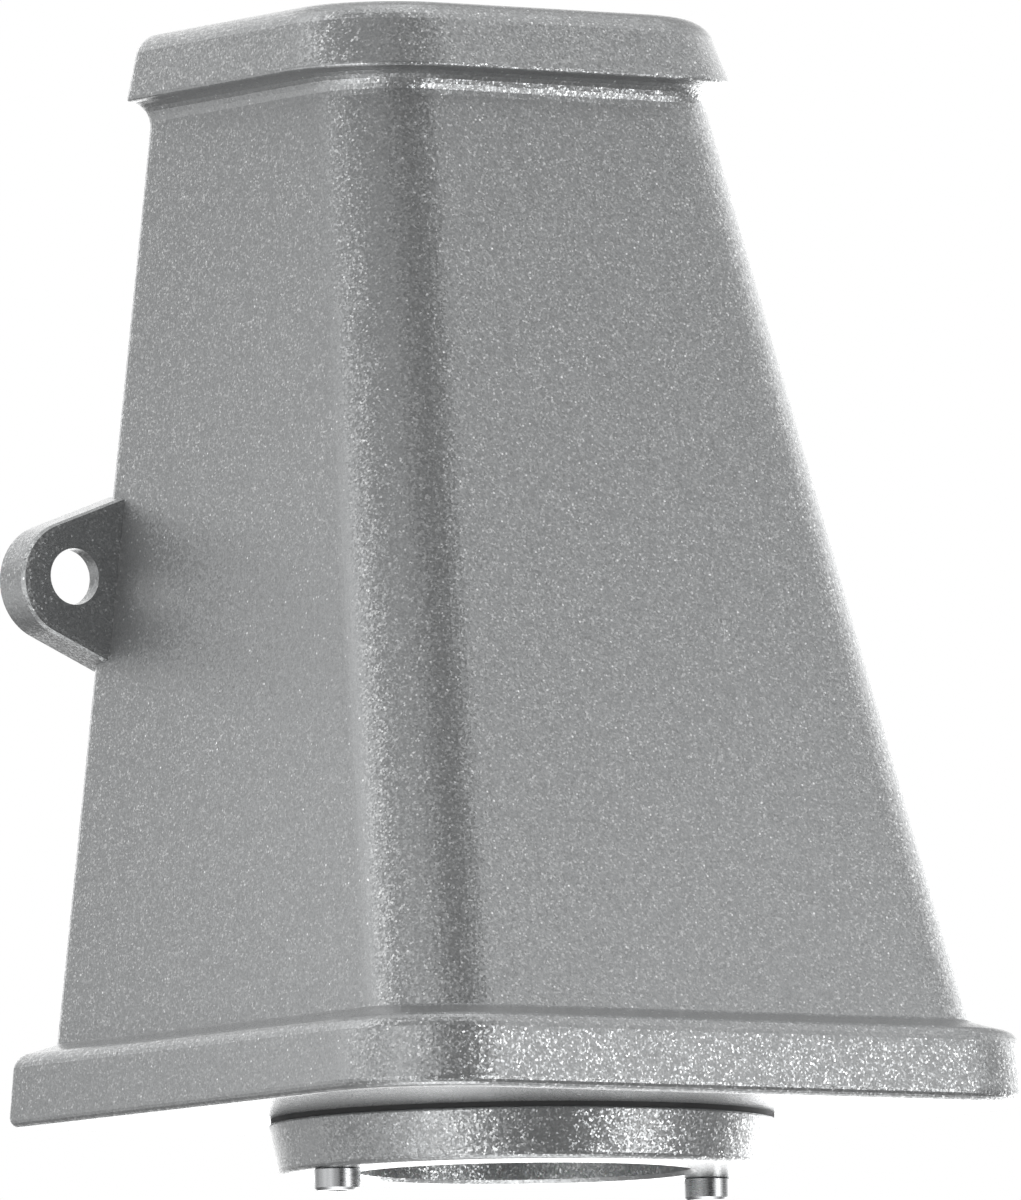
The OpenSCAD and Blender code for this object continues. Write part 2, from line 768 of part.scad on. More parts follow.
// Internal wires: each is a round tube along a smooth curve through a few points
lead_sides = 12;
lead_steps = 6;
function unit(v) = v / norm(v);

// Place on the curve between b and c, where a and d are the points before and after
function between(a, b, c, d, t) =
    0.5 * (2 * b + (c - a) * t + (2 * a - 5 * b + 4 * c - d) * t * t + (3 * b - a - 3 * c + d) * t * t * t);
function curve(p) =
    let (n = len(p), q = concat([2 * p[0] - p[1]], p, [2 * p[n - 1] - p[n - 2]]))
    concat(
        [for (i = [0:n - 2]) for (k = [0:lead_steps - 1])
            between(q[i], q[i + 1], q[i + 2], q[i + 3], k / lead_steps)],
        [p[n - 1]]);

// side_axis is a direction that the wire never runs along
module lead(points, side_axis) {
    c = curve(points);
    n = len(c);
    m = lead_sides;
    rings = [for (i = [0:n - 1])
        let (
            t = unit(c[min(i + 1, n - 1)] - c[max(i - 1, 0)]),
            u = unit(cross(t, side_axis)),
            v = cross(t, u))
        each [for (k = [0:m - 1]) c[i] + lead_r * (u * cos(360 * k / m) + v * sin(360 * k / m))]];
    ends = [[for (k = [m - 1:-1:0]) k], [for (k = [0:m - 1]) (n - 1) * m + k]];
    sides = [for (i = [0:n - 2]) for (k = [0:m - 1])
        let (a = i * m + k, b = i * m + (k + 1) % m)
        each [[a, b, a + m], [b, b + m, a + m]]];
    // With t along the wire, u and v turn anticlockwise seen from its far end
    polyhedron(rings, concat(
        [for (e = ends) [for (k = [m - 1:-1:0]) e[k]]],
        [for (s = sides) [s[2], s[1], s[0]]]));
}

block_low = block_z - block_h / 2;
holder_back = holder_r - lamp_y;
lead_in = 4;            // how far a wire runs into the block
socket_in = 6.5;        // and into the holder
straight = 5;           // the straight stretch that follows
low_turn = holder_top + 7;
high_turn = block_low - 7;
lug_out = 3;            // the earth lead's straight stretch out of the lug
earth_rise_z = 24;      // where it turns up
earth_bend_x = -2;      // and where it swings in line with the block
earth_bend_z = 50;

module live_lead() {
    color([0.45, 0.25, 0.12])
    lead([
        [-lead_hole_x, holder_back - socket_in, lead_hole_z],
        [-lead_hole_x, holder_back + straight, lead_hole_z],
        [-(lead_hole_x + block_pitch) / 2, block_mid - straight, low_turn],
        [-block_pitch, block_mid, high_turn], [-block_pitch, block_mid, block_low + lead_in],
    ], [1, 0, 0]);
}

module neutral_lead() {
    color([0.15, 0.25, 0.6])
    lead([
        [lead_hole_x, holder_back - socket_in, lead_hole_z],
        [lead_hole_x, holder_back + straight, lead_hole_z],
        [(lead_hole_x + block_pitch) / 2, block_mid - straight, low_turn],
        [block_pitch, block_mid, high_turn], [block_pitch, block_mid, block_low + lead_in],
    ], [1, 0, 0]);
}

module earth_lead() {
    color([0.25, 0.55, 0.2])
    lead([
        [earth_at[0] + barrel_x + 1, earth_at[1], earth_boss_z + barrel_r],
        [earth_at[0] + barrel_x + barrel_l + lug_out, earth_at[1], earth_boss_z + barrel_r + 0.3],
        [earth_at[0] / 3, block_mid, earth_rise_z], [earth_bend_x, block_mid, earth_bend_z],
        [0, block_mid, block_low - 2 * straight],
        [0, block_mid, block_low + lead_in],
    ], [0, 1, 0]);
}

housing();
trim_ring();
ring_gasket();
ring_screws();
cover_glass();
glass_gasket();
rear_plate();
rear_gasket();
rear_plate_screws();
cable_grommet();
cable_clamp();
clamp_screws();
terminal_block();
terminal_inserts();
terminal_screws();
block_screws();
lamp_body();
lamp_lens();
lamp_pins();
lamp_holder();
holder_screws();
holder_bracket();
bracket_screws();
earth_lug();
earth_screw();
live_lead();
neutral_lead();
earth_lead();
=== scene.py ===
# %% [markdown]
# # Outdoor wall light
# A cast aluminium light that hangs on a wall and shines straight down. The housing and the
# round trim ring that holds the glass are powder coated in a silver grey full of fine metal
# flakes, and two stainless screws hold the ring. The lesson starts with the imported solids,
# gives each of them its real finish, and then adds the camera, the floor and the light.

# %% Frame
import bpy, bmesh, math
from mathutils import Matrix, Vector


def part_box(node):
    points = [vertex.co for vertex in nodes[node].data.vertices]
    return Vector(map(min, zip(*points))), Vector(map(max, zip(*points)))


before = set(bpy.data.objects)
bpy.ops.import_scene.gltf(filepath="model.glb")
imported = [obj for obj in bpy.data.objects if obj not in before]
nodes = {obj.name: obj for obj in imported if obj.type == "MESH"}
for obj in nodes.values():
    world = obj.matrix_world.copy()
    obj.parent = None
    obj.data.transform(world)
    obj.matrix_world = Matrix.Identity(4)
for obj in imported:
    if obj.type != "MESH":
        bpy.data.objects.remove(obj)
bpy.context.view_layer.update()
MM = 0.001

# %% [markdown]
# Colours are written as the hex values of a paint chart. Blender shades in linear light,
# so one function turns them over. Another adds a shader node, applies its settings and
# either fills its sockets or links them to earlier nodes. A third starts a material, and a
# fourth gives a finish to the solids. Two kinds of node need a note. A Mix node has its
# colours in sockets 6 and 7 and gives the result as output 2. A noise keeps mostly between
# 0.3 and 0.7, so a range that is mapped from there is used in full.

# %% Colour and node helpers
colours = {"data_type": "RGBA"}
noise_span = {"From_Min": 0.3, "From_Max": 0.7}
full_span = {"To_Min": 0.0, "To_Max": 1.0}


def linear(hex_value):
    channels = [int(hex_value[i:i + 2], 16) / 255 for i in (1, 3, 5)]
    return tuple(c / 12.92 if c <= 0.04045 else ((c + 0.055) / 1.055) ** 2.4 for c in channels) + (1.0,)


def add(tree, kind, settings=(), **sockets):
    """A socket is named by its label or as i0, i1 ...; a pair (node, output) is a link."""
    node = tree.nodes.new(kind)
    for name, value in dict(settings).items():
        setattr(node, name, value)
    for name, value in sockets.items():
        numbered = name[0] == "i" and name[1:].isdigit()
        socket = node.inputs[int(name[1:])] if numbered else node.inputs[name.replace("_", " ")]
        if isinstance(value, tuple) and len(value) == 2 and hasattr(value[0], "outputs"):
            tree.links.new(value[0].outputs[value[1]], socket)
        else:
            socket.default_value = value
    return node


def material(name):
    made = bpy.data.materials.new(name)
    made.use_nodes = True
    made.node_tree.nodes.clear()
    return made, made.node_tree


def give(made, *node_names):
    for name in node_names:
        slots = nodes[name].data.materials
        slots.clear()
        slots.append(made)
    print(made.name, "on", ", ".join(node_names))


print("silver grey in linear light:", [round(c, 3) for c in linear("#818282")[:3]])

# %% [markdown]
# Metallic powder coat: a polyester powder with aluminium flakes, baked on to the metal.
# The film gives a satin gloss over a sandy grain of about half a millimetre, and its tone
# is finely mottled. The flakes in it are too fine to show one by one, so they are drawn
# about a quarter of a millimetre across. Each is tilted its own way and lies at its own
# depth, so one catches a lamp and sparkles while its neighbour stays dark. The flakes are
# a second shader, whose normal leans by the colour of a Voronoi cell. On top of that come
# painted highlights, which stand for the sparkle of larger flakes: small spots of a second
# and coarser Voronoi pattern are painted near white into both colours, so they shine
# whatever the lamps. Both patterns are turned askew, because a face that is nearly square
# to their cells would show them in rows.

# %% Powder coat
grain_size = 0.5 * MM
grain_height = 0.02 * MM
mottle_size = 0.28 * MM
flake_size = 0.24 * MM
flake_lean = 0.4          # a flake's full swing from side to side, in lengths of its normal
flake_share = 0.35        # the flakes' part of the coat; the rest is film
depth_power = 4.0         # a high power leaves only few flakes near the surface
# Painted glints: near-white spots in the coat's colour, a painted highlight that stands for the sparkle of
# larger flakes.
painted_glint_spacing = 0.55 * MM
painted_glint_draw = {"From_Min": 0.93, "From_Max": 0.98}    # about one cell in twenty glints
painted_glint_edge = {"From_Min": 0.34, "From_Max": 0.18}    # from the cell's middle, in spacings
askew_turn = (0.7, 0.5, 0.3)
clear_film = {"Coat_Weight": 0.53, "Coat_Roughness": 0.2}

made, tree = material("silver_grey_metallic_powder_coat")
place = add(tree, "ShaderNodeTexCoord")
grain = add(
    tree, "ShaderNodeTexNoise", Vector=(place, "Object"), Scale=1 / grain_size, Detail=2.0, Roughness=0.6)
sand = add(tree, "ShaderNodeBump", Strength=0.5, Distance=grain_height, Height=(grain, "Fac"))

askew = add(tree, "ShaderNodeMapping", Vector=(place, "Object"), Rotation=askew_turn)
# The coarse pattern places the painted highlight spots.
coarse = add(tree, "ShaderNodeTexVoronoi", Vector=(askew, "Vector"), Scale=1 / painted_glint_spacing, Randomness=1.0)
draw = add(tree, "ShaderNodeSeparateColor", Color=(coarse, "Color"))
few = add(tree, "ShaderNodeMapRange", Value=(draw, "Red"), **painted_glint_draw, **full_span)
spot = add(tree, "ShaderNodeMapRange", Value=(coarse, "Distance"), **painted_glint_edge, **full_span)
painted_glint = add(tree, "ShaderNodeMath", {"operation": "MULTIPLY"}, i0=(few, "Result"), i1=(spot, "Result"))

fine = add(
    tree, "ShaderNodeTexNoise", Vector=(place, "Object"), Scale=1 / mottle_size, Detail=2.0, Roughness=0.7)
mottle = add(tree, "ShaderNodeMapRange", Value=(fine, "Fac"), **noise_span, **full_span)
film_tone = add(
    tree, "ShaderNodeMix", colours, i0=(mottle, "Result"), i6=linear("#767778"), i7=linear("#8C8D8D"))
# The film's colour is lightened to near white at the painted glints, a painted highlight.
film_colour = add(
    tree, "ShaderNodeMix", colours, i0=(painted_glint, "Value"), i6=(film_tone, 2), i7=linear("#BDBEBF"))
film = add(
    tree, "ShaderNodeBsdfPrincipled", Base_Color=(film_colour, 2), Metallic=0.75, Roughness=0.56,
    Normal=(sand, "Normal"), **clear_film)

cells = add(tree, "ShaderNodeTexVoronoi", Vector=(askew, "Vector"), Scale=1 / flake_size, Randomness=1.0)
centred = add(
    tree, "ShaderNodeVectorMath", {"operation": "SUBTRACT"}, i0=(cells, "Color"), i1=(0.5, 0.5, 0.5))
tilt = add(tree, "ShaderNodeVectorMath", {"operation": "SCALE"}, i0=(centred, "Vector"), Scale=flake_lean)
leaned = add(tree, "ShaderNodeVectorMath", {"operation": "ADD"}, i0=(sand, "Normal"), i1=(tilt, "Vector"))
facing = add(tree, "ShaderNodeVectorMath", {"operation": "NORMALIZE"}, i0=(leaned, "Vector"))
lot = add(tree, "ShaderNodeSeparateColor", Color=(cells, "Color"))
depth = add(tree, "ShaderNodeMath", {"operation": "POWER"}, i0=(lot, "Green"), i1=depth_power)
flake_tone = add(
    tree, "ShaderNodeMix", colours, i0=(depth, "Value"), i6=linear("#949697"), i7=linear("#E4E5E5"))
# The flakes' colour is painted pure white at the same spots, a painted highlight.
flake_colour = add(
    tree, "ShaderNodeMix", colours, i0=(painted_glint, "Value"), i6=(flake_tone, 2), i7=linear("#FFFFFF"))
flake = add(
    tree, "ShaderNodeBsdfPrincipled", Base_Color=(flake_colour, 2), Metallic=1.0, Roughness=0.18,
    Normal=(facing, "Vector"), **clear_film)
both = add(tree, "ShaderNodeMixShader", Fac=flake_share, i1=(film, "BSDF"), i2=(flake, "BSDF"))
add(tree, "ShaderNodeOutputMaterial", Surface=(both, "Shader"))
give(made, "housing", "trim_ring")

# %% [markdown]
# Stainless steel screws, cold headed and then turned: bright, with fine rings round the
# axis of each screw. Wave rings would need a centre for every screw, so a noise that is
# squeezed along Z stands for them. It runs round the sides of the ring's upright screws,
# clouds their heads, and draws fine level lines across the heads of the plate's screws.

# %% Stainless steel
mark_size = 0.9 * MM
mark_height = 0.01 * MM
mark_squeeze = (1.0, 1.0, 8.0)

made, tree = material("turned_stainless_steel")
place = add(tree, "ShaderNodeTexCoord")
lay = add(tree, "ShaderNodeMapping", Vector=(place, "Object"), Scale=mark_squeeze)
marks = add(
    tree, "ShaderNodeTexNoise", Vector=(lay, "Vector"), Scale=1 / mark_size, Detail=3.0, Roughness=0.6)
gloss = add(tree, "ShaderNodeMapRange", Value=(marks, "Fac"), **noise_span, To_Min=0.2, To_Max=0.38)
tone = add(tree, "ShaderNodeMix", colours, i0=(marks, "Fac"), i6=linear("#88898A"), i7=linear("#B2B3B4"))
cuts = add(tree, "ShaderNodeBump", Strength=0.3, Distance=mark_height, Height=(marks, "Fac"))
steel = add(
    tree, "ShaderNodeBsdfPrincipled", Base_Color=(tone, 2), Metallic=1.0, Roughness=(gloss, "Result"),
    Normal=(cuts, "Normal"))
add(tree, "ShaderNodeOutputMaterial", Surface=(steel, "BSDF"))
give(made, "ring_screws", "rear_plate_screws")

# %% [markdown]
# Zinc on steel comes in two kinds here. The small screws, the bracket, the lamp's pins
# and the earth lug are plated: thin, bright and a little cloudy. The rear plate is cut
# from hot-dipped sheet, where the zinc froze in flat crystals about 6 mm across, each
# with its own tone and gloss. It was then passivated, which dulls it to a darker grey. A
# noise that is mixed into the place bends the straight edges of the Voronoi cells by
# about half a millimetre.

# %% Plated and hot-dipped zinc
cloud_size = 4 * MM
grit_size = 0.3 * MM
grit_height = 0.01 * MM
crystal_size = 6 * MM
bend_size = 3 * MM
bend_share = 0.0016

made, tree = material("plated_zinc_on_steel")
place = add(tree, "ShaderNodeTexCoord")
cloud = add(
    tree, "ShaderNodeTexNoise", Vector=(place, "Object"), Scale=1 / cloud_size, Detail=4.0, Roughness=0.6)
fine = add(
    tree, "ShaderNodeTexNoise", Vector=(place, "Object"), Scale=1 / grit_size, Detail=2.0, Roughness=0.5)
tone = add(tree, "ShaderNodeMix", colours, i0=(cloud, "Fac"), i6=linear("#9DA2A6"), i7=linear("#C3C7CA"))
gloss = add(tree, "ShaderNodeMapRange", Value=(cloud, "Fac"), **noise_span, To_Min=0.28, To_Max=0.45)
grit = add(tree, "ShaderNodeBump", Strength=0.3, Distance=grit_height, Height=(fine, "Fac"))
zinc = add(
    tree, "ShaderNodeBsdfPrincipled", Base_Color=(tone, 2), Metallic=1.0, Roughness=(gloss, "Result"),
    Normal=(grit, "Normal"))
add(tree, "ShaderNodeOutputMaterial", Surface=(zinc, "BSDF"))
give(
    made, "clamp_screws", "block_screws", "lamp_pins", "holder_screws", "holder_bracket", "bracket_screws",
    "earth_lug")

made, tree = material("passivated_hot_dipped_zinc_sheet")
place = add(tree, "ShaderNodeTexCoord")
bend = add(
    tree, "ShaderNodeTexNoise", Vector=(place, "Object"), Scale=1 / bend_size, Detail=2.0, Roughness=0.5)
ragged = add(
    tree, "ShaderNodeMix", {"data_type": "VECTOR"}, i0=bend_share, i4=(place, "Object"), i5=(bend, "Color"))
crystals = add(tree, "ShaderNodeTexVoronoi", Vector=(ragged, 1), Scale=1 / crystal_size, Randomness=1.0)
pick = add(tree, "ShaderNodeSeparateColor", Color=(crystals, "Color"))
tone = add(tree, "ShaderNodeMix", colours, i0=(pick, "Red"), i6=linear("#5C6062"), i7=linear("#7C8183"))
gloss = add(
    tree, "ShaderNodeMapRange", Value=(pick, "Green"), From_Min=0.0, From_Max=1.0, To_Min=0.34, To_Max=0.52)
sheet = add(
    tree, "ShaderNodeBsdfPrincipled", Base_Color=(tone, 2), Metallic=1.0, Roughness=(gloss, "Result"))
add(tree, "ShaderNodeOutputMaterial", Surface=(sheet, "BSDF"))
give(made, "rear_plate")

# %% [markdown]
# EPDM rubber: the two flat gaskets and the cable grommet, moulded and dull black with a
# little bloom. The gasket under the glass is translucent silicone instead, because it
# sits next to the hot lamp.

# %% Rubber
pore_size = 0.25 * MM
pore_height = 0.02 * MM
bloom_size = 6 * MM
haze_size = 1.5 * MM
silicone_glow = 1.0 * MM    # how far light spreads inside

made, tree = material("moulded_black_epdm")
place = add(tree, "ShaderNodeTexCoord")
skin = add(
    tree, "ShaderNodeTexNoise", Vector=(place, "Object"), Scale=1 / pore_size, Detail=3.0, Roughness=0.6)
bloom = add(
    tree, "ShaderNodeTexNoise", Vector=(place, "Object"), Scale=1 / bloom_size, Detail=3.0, Roughness=0.6)
tone = add(tree, "ShaderNodeMix", colours, i0=(bloom, "Fac"), i6=linear("#141414"), i7=linear("#2B2B2C"))
gloss = add(tree, "ShaderNodeMapRange", Value=(bloom, "Fac"), **noise_span, To_Min=0.6, To_Max=0.8)
pores = add(tree, "ShaderNodeBump", Strength=0.4, Distance=pore_height, Height=(skin, "Fac"))
rubber = add(
    tree, "ShaderNodeBsdfPrincipled", Base_Color=(tone, 2), Roughness=(gloss, "Result"), IOR=1.5,
    Normal=(pores, "Normal"))
add(tree, "ShaderNodeOutputMaterial", Surface=(rubber, "BSDF"))
give(made, "ring_gasket", "rear_gasket", "cable_grommet")

made, tree = material("translucent_silicone")
place = add(tree, "ShaderNodeTexCoord")
haze = add(
    tree, "ShaderNodeTexNoise", Vector=(place, "Object"), Scale=1 / haze_size, Detail=3.0, Roughness=0.6)
tone = add(tree, "ShaderNodeMix", colours, i0=(haze, "Fac"), i6=linear("#C9CBC8"), i7=linear("#E2E3E0"))
skin = add(tree, "ShaderNodeBump", Strength=0.2, Distance=pore_height, Height=(haze, "Fac"))
silicone = add(
    tree, "ShaderNodeBsdfPrincipled", Base_Color=(tone, 2), Roughness=0.45, IOR=1.41,
    Subsurface_Weight=0.4, Subsurface_Scale=silicone_glow, Normal=(skin, "Normal"))
add(tree, "ShaderNodeOutputMaterial", Surface=(silicone, "BSDF"))
give(made, "glass_gasket")

# %% [markdown]
# Glass: the cover disc is toughened float glass, clear, with the faintest waviness from
# the furnace rollers. The lamp's own front is pressed glass with a field of small round
# lenses, about 2.4 mm across, that spread the beam. Their pattern is flattened along Z, so
# that each lens is one cell straight through the glass.

# %% Glass
roller_spacing = 18 * MM
roller_wave = 0.05 * MM
lenslet_size = 2.4 * MM
lenslet_height = 0.5 * MM

made, tree = material("toughened_float_glass")
place = add(tree, "ShaderNodeTexCoord")
rollers = add(
    tree, "ShaderNodeTexNoise", Vector=(place, "Object"), Scale=1 / roller_spacing, Detail=1.0,
    Roughness=0.4)
wave = add(tree, "ShaderNodeBump", Strength=0.1, Distance=roller_wave, Height=(rollers, "Fac"))
glass = add(
    tree, "ShaderNodeBsdfPrincipled", Base_Color=linear("#F3F8F6"), Roughness=0.02, IOR=1.52,
    Transmission_Weight=1.0, Normal=(wave, "Normal"))
add(tree, "ShaderNodeOutputMaterial", Surface=(glass, "BSDF"))
give(made, "cover_glass")

made, tree = material("pressed_lens_glass")
place = add(tree, "ShaderNodeTexCoord")
flat = add(tree, "ShaderNodeMapping", Vector=(place, "Object"), Scale=(1.0, 1.0, 0.0))
lenslets = add(
    tree, "ShaderNodeTexVoronoi", Vector=(flat, "Vector"), Scale=1 / lenslet_size, Randomness=0.25)
domes = add(
    tree, "ShaderNodeBump", {"invert": True}, Strength=0.9, Distance=lenslet_height,
    Height=(lenslets, "Distance"))
lens = add(
    tree, "ShaderNodeBsdfPrincipled", Base_Color=linear("#EEF2F2"), Roughness=0.08, IOR=1.47,
    Transmission_Weight=0.6, Normal=(domes, "Normal"))
add(tree, "ShaderNodeOutputMaterial", Surface=(lens, "BSDF"))
give(made, "lamp_lens")

# %% [markdown]
# The lamp is a metallised reflector body, satin inside and out, with faint rings from the
# lathe that turned its mould. They lie round the lamp's axis, so the pattern is centred
# there, and they are drawn 2.2 mm apart, because real ones are too fine to show. A Wave
# texture turns through 20 radians per unit. The socket is steatite, a dense off-white
# ceramic with a dry, slightly speckled skin.

# %% Lamp and socket
wave_turn = 20
ring_pitch = 2.2 * MM
ring_height = 0.01 * MM
metal_cloud = 5 * MM
clay_size = 2 * MM
clay_height = 0.03 * MM
speck_spacing = 0.8 * MM
speck_edge = {"From_Min": 0.08, "From_Max": 0.2}    # from the speck's middle, in spacings

lamp_low, lamp_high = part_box("lamp_body")
lamp_axis = tuple((a + b) / 2 for a, b in zip(lamp_low, lamp_high))
print("lamp axis in mm:", [round(c / MM, 1) for c in lamp_axis[:2]])

made, tree = material("satin_metallised_reflector")
place = add(tree, "ShaderNodeTexCoord")
centre = add(
    tree, "ShaderNodeMapping", Vector=(place, "Object"), Location=(-lamp_axis[0], -lamp_axis[1], 0.0))
rings = add(
    tree, "ShaderNodeTexWave", {"wave_type": "RINGS", "rings_direction": "Z"}, Vector=(centre, "Vector"),
    Scale=2 * math.pi / (wave_turn * ring_pitch), Distortion=0.3, Detail=1.0)
cloud = add(
    tree, "ShaderNodeTexNoise", Vector=(place, "Object"), Scale=1 / metal_cloud, Detail=3.0, Roughness=0.5)
tone = add(tree, "ShaderNodeMix", colours, i0=(cloud, "Fac"), i6=linear("#C8CACC"), i7=linear("#DDDFE0"))
turned = add(tree, "ShaderNodeBump", Strength=0.25, Distance=ring_height, Height=(rings, "Fac"))
shell = add(
    tree, "ShaderNodeBsdfPrincipled", Base_Color=(tone, 2), Metallic=1.0, Roughness=0.3,
    Normal=(turned, "Normal"))
add(tree, "ShaderNodeOutputMaterial", Surface=(shell, "BSDF"))
give(made, "lamp_body")

made, tree = material("pressed_steatite_ceramic")
place = add(tree, "ShaderNodeTexCoord")
body = add(
    tree, "ShaderNodeTexNoise", Vector=(place, "Object"), Scale=1 / clay_size, Detail=4.0, Roughness=0.6)
speck = add(tree, "ShaderNodeTexVoronoi", Vector=(place, "Object"), Scale=1 / speck_spacing, Randomness=1.0)
dots = add(tree, "ShaderNodeMapRange", Value=(speck, "Distance"), **speck_edge, **full_span)
clay = add(tree, "ShaderNodeMix", colours, i0=(body, "Fac"), i6=linear("#DAD5C8"), i7=linear("#ECE8DD"))
tone = add(tree, "ShaderNodeMix", colours, i0=(dots, "Result"), i6=linear("#B9B2A2"), i7=(clay, 2))
skin = add(tree, "ShaderNodeBump", Strength=0.3, Distance=clay_height, Height=(body, "Fac"))
ceramic = add(
    tree, "ShaderNodeBsdfPrincipled", Base_Color=(tone, 2), Roughness=0.55, IOR=1.6,
    Normal=(skin, "Normal"))
add(tree, "ShaderNodeOutputMaterial", Surface=(ceramic, "BSDF"))
give(made, "lamp_holder")

# %% [markdown]
# Terminals: the block and the cable clamp are moulded in white polyamide, which has a
# soft gloss and lets a little light in. Its mould was spark eroded, which leaves a very
# fine grain. The tubes, their clamping screws and the earth screw are brass, cut on an
# automatic lathe and a little tarnished.

# %% Polyamide and brass
flow_size = 7 * MM
spark_size = 0.12 * MM
spark_height = 0.015 * MM
polyamide_glow = 0.8 * MM
cut_size = 0.4 * MM
cut_height = 0.01 * MM
tarnish_size = 2.5 * MM

made, tree = material("moulded_white_polyamide")
place = add(tree, "ShaderNodeTexCoord")
flow = add(
    tree, "ShaderNodeTexNoise", Vector=(place, "Object"), Scale=1 / flow_size, Detail=2.0, Roughness=0.5)
spark = add(
    tree, "ShaderNodeTexNoise", Vector=(place, "Object"), Scale=1 / spark_size, Detail=2.0, Roughness=0.6)
tone = add(tree, "ShaderNodeMix", colours, i0=(flow, "Fac"), i6=linear("#DEDDD5"), i7=linear("#EDECE6"))
skin = add(tree, "ShaderNodeBump", Strength=0.25, Distance=spark_height, Height=(spark, "Fac"))
nylon = add(
    tree, "ShaderNodeBsdfPrincipled", Base_Color=(tone, 2), Roughness=0.42, IOR=1.53,
    Subsurface_Weight=0.25, Subsurface_Scale=polyamide_glow, Normal=(skin, "Normal"))
add(tree, "ShaderNodeOutputMaterial", Surface=(nylon, "BSDF"))
give(made, "terminal_block", "cable_clamp")

made, tree = material("turned_brass")
place = add(tree, "ShaderNodeTexCoord")
cuts = add(
    tree, "ShaderNodeTexNoise", Vector=(place, "Object"), Scale=1 / cut_size, Detail=2.0, Roughness=0.6)
tarnish = add(
    tree, "ShaderNodeTexNoise", Vector=(place, "Object"), Scale=1 / tarnish_size, Detail=3.0, Roughness=0.6)
tone = add(tree, "ShaderNodeMix", colours, i0=(tarnish, "Fac"), i6=linear("#B5904C"), i7=linear("#DDBD78"))
tool = add(tree, "ShaderNodeBump", Strength=0.3, Distance=cut_height, Height=(cuts, "Fac"))
brass = add(
    tree, "ShaderNodeBsdfPrincipled", Base_Color=(tone, 2), Metallic=1.0, Roughness=0.3,
    Normal=(tool, "Normal"))
add(tree, "ShaderNodeOutputMaterial", Surface=(brass, "BSDF"))
give(made, "terminal_inserts", "terminal_screws", "earth_screw")

# %% [markdown]
# The three leads have silicone insulation: brown for live, blue for neutral, and green
# with a yellow stripe for earth. Silicone is dull and picks up a little dust. One loop
# makes the two plain colours. The striped one gets slanting bands that come every 5 mm
# along it. Diagonal bands turn through half as many radians per unit along an axis.

# %% Wire insulation
dust_size = 1.2 * MM
dust_height = 0.02 * MM
stripe_repeat = 5 * MM
stripe_edge = {"From_Min": 0.55, "From_Max": 0.65}

for lead, dark, pale in (("live_lead", "#4A2812", "#6B3D1F"), ("neutral_lead", "#15356F", "#2A55A0")):
    made, tree = material(lead.split("_")[0] + "_silicone_insulation")
    place = add(tree, "ShaderNodeTexCoord")
    dust = add(
        tree, "ShaderNodeTexNoise", Vector=(place, "Object"), Scale=1 / dust_size, Detail=3.0,
        Roughness=0.6)
    tone = add(tree, "ShaderNodeMix", colours, i0=(dust, "Fac"), i6=linear(dark), i7=linear(pale))
    skin = add(tree, "ShaderNodeBump", Strength=0.2, Distance=dust_height, Height=(dust, "Fac"))
    sleeve = add(
        tree, "ShaderNodeBsdfPrincipled", Base_Color=(tone, 2), Roughness=0.55, IOR=1.41,
        Normal=(skin, "Normal"))
    add(tree, "ShaderNodeOutputMaterial", Surface=(sleeve, "BSDF"))
    give(made, lead)

made, tree = material("earth_silicone_insulation")
place = add(tree, "ShaderNodeTexCoord")
bands = add(
    tree, "ShaderNodeTexWave", {"wave_type": "BANDS", "bands_direction": "DIAGONAL"},
    Vector=(place, "Object"), Scale=2 * math.pi / (wave_turn / 2 * stripe_repeat), Distortion=0.0)
edge = add(tree, "ShaderNodeMapRange", Value=(bands, "Fac"), **stripe_edge, **full_span)
tone = add(tree, "ShaderNodeMix", colours, i0=(edge, "Result"), i6=linear("#2E7A35"), i7=linear("#D9C92E"))
sleeve = add(tree, "ShaderNodeBsdfPrincipled", Base_Color=(tone, 2), Roughness=0.55, IOR=1.41)
add(tree, "ShaderNodeOutputMaterial", Surface=(sleeve, "BSDF"))
give(made, "earth_lead")

# %% [markdown]
# The camera stands round to the left of the light and a little below it, and is rolled by
# less than a degree. It is far away with a long lens, so the upright edges hardly lean
# together. A direction is an azimuth and an elevation in degrees: azimuth 0 is straight in
# front of the object, 90 is to its left, seen from the front, and 180 is behind it.

# %% Camera
def towards(azimuth, elevation):
    a, e = math.radians(azimuth), math.radians(elevation)
    return Vector((-math.sin(a) * math.cos(e), -math.cos(a) * math.cos(e), math.sin(e)))


camera_azimuth = 32.801
camera_elevation = -4.894
camera_roll = -0.728
camera_target = Vector((-1.37, -45, 67.38)) * MM
camera_distance = 3.0898
camera_clip = (0.1, 20)
sensor_mm = 36
focal_px = 23734
frame_px = (1021, 1200)

away = towards(camera_azimuth, camera_elevation)
level_right = Vector((0, 0, 1)).cross(away).normalized()
camera_right = Matrix.Rotation(math.radians(camera_roll), 3, away) @ level_right
camera_up = away.cross(camera_right)
camera_at = camera_target + camera_distance * away
camera_turn = Matrix((camera_right, camera_up, away)).transposed().to_4x4()

camera = bpy.data.objects.new("camera", bpy.data.cameras.new("camera"))
bpy.context.scene.collection.objects.link(camera)
camera.matrix_world = Matrix.Translation(camera_at) @ camera_turn
camera.data.sensor_width = sensor_mm
camera.data.lens = sensor_mm * focal_px / max(frame_px)
camera.data.clip_start, camera.data.clip_end = camera_clip
bpy.context.scene.camera = camera
print("lens in mm:", round(camera.data.lens, 1))

# %% [markdown]
# The floor is pale and plain, well below the light, and keeps its shadow. Only the camera
# sees it, and only its upper side: it neither lifts the tone of the underside nor hides
# the object from below.

# %% Floor
floor_z = -0.35
floor_reach = 4

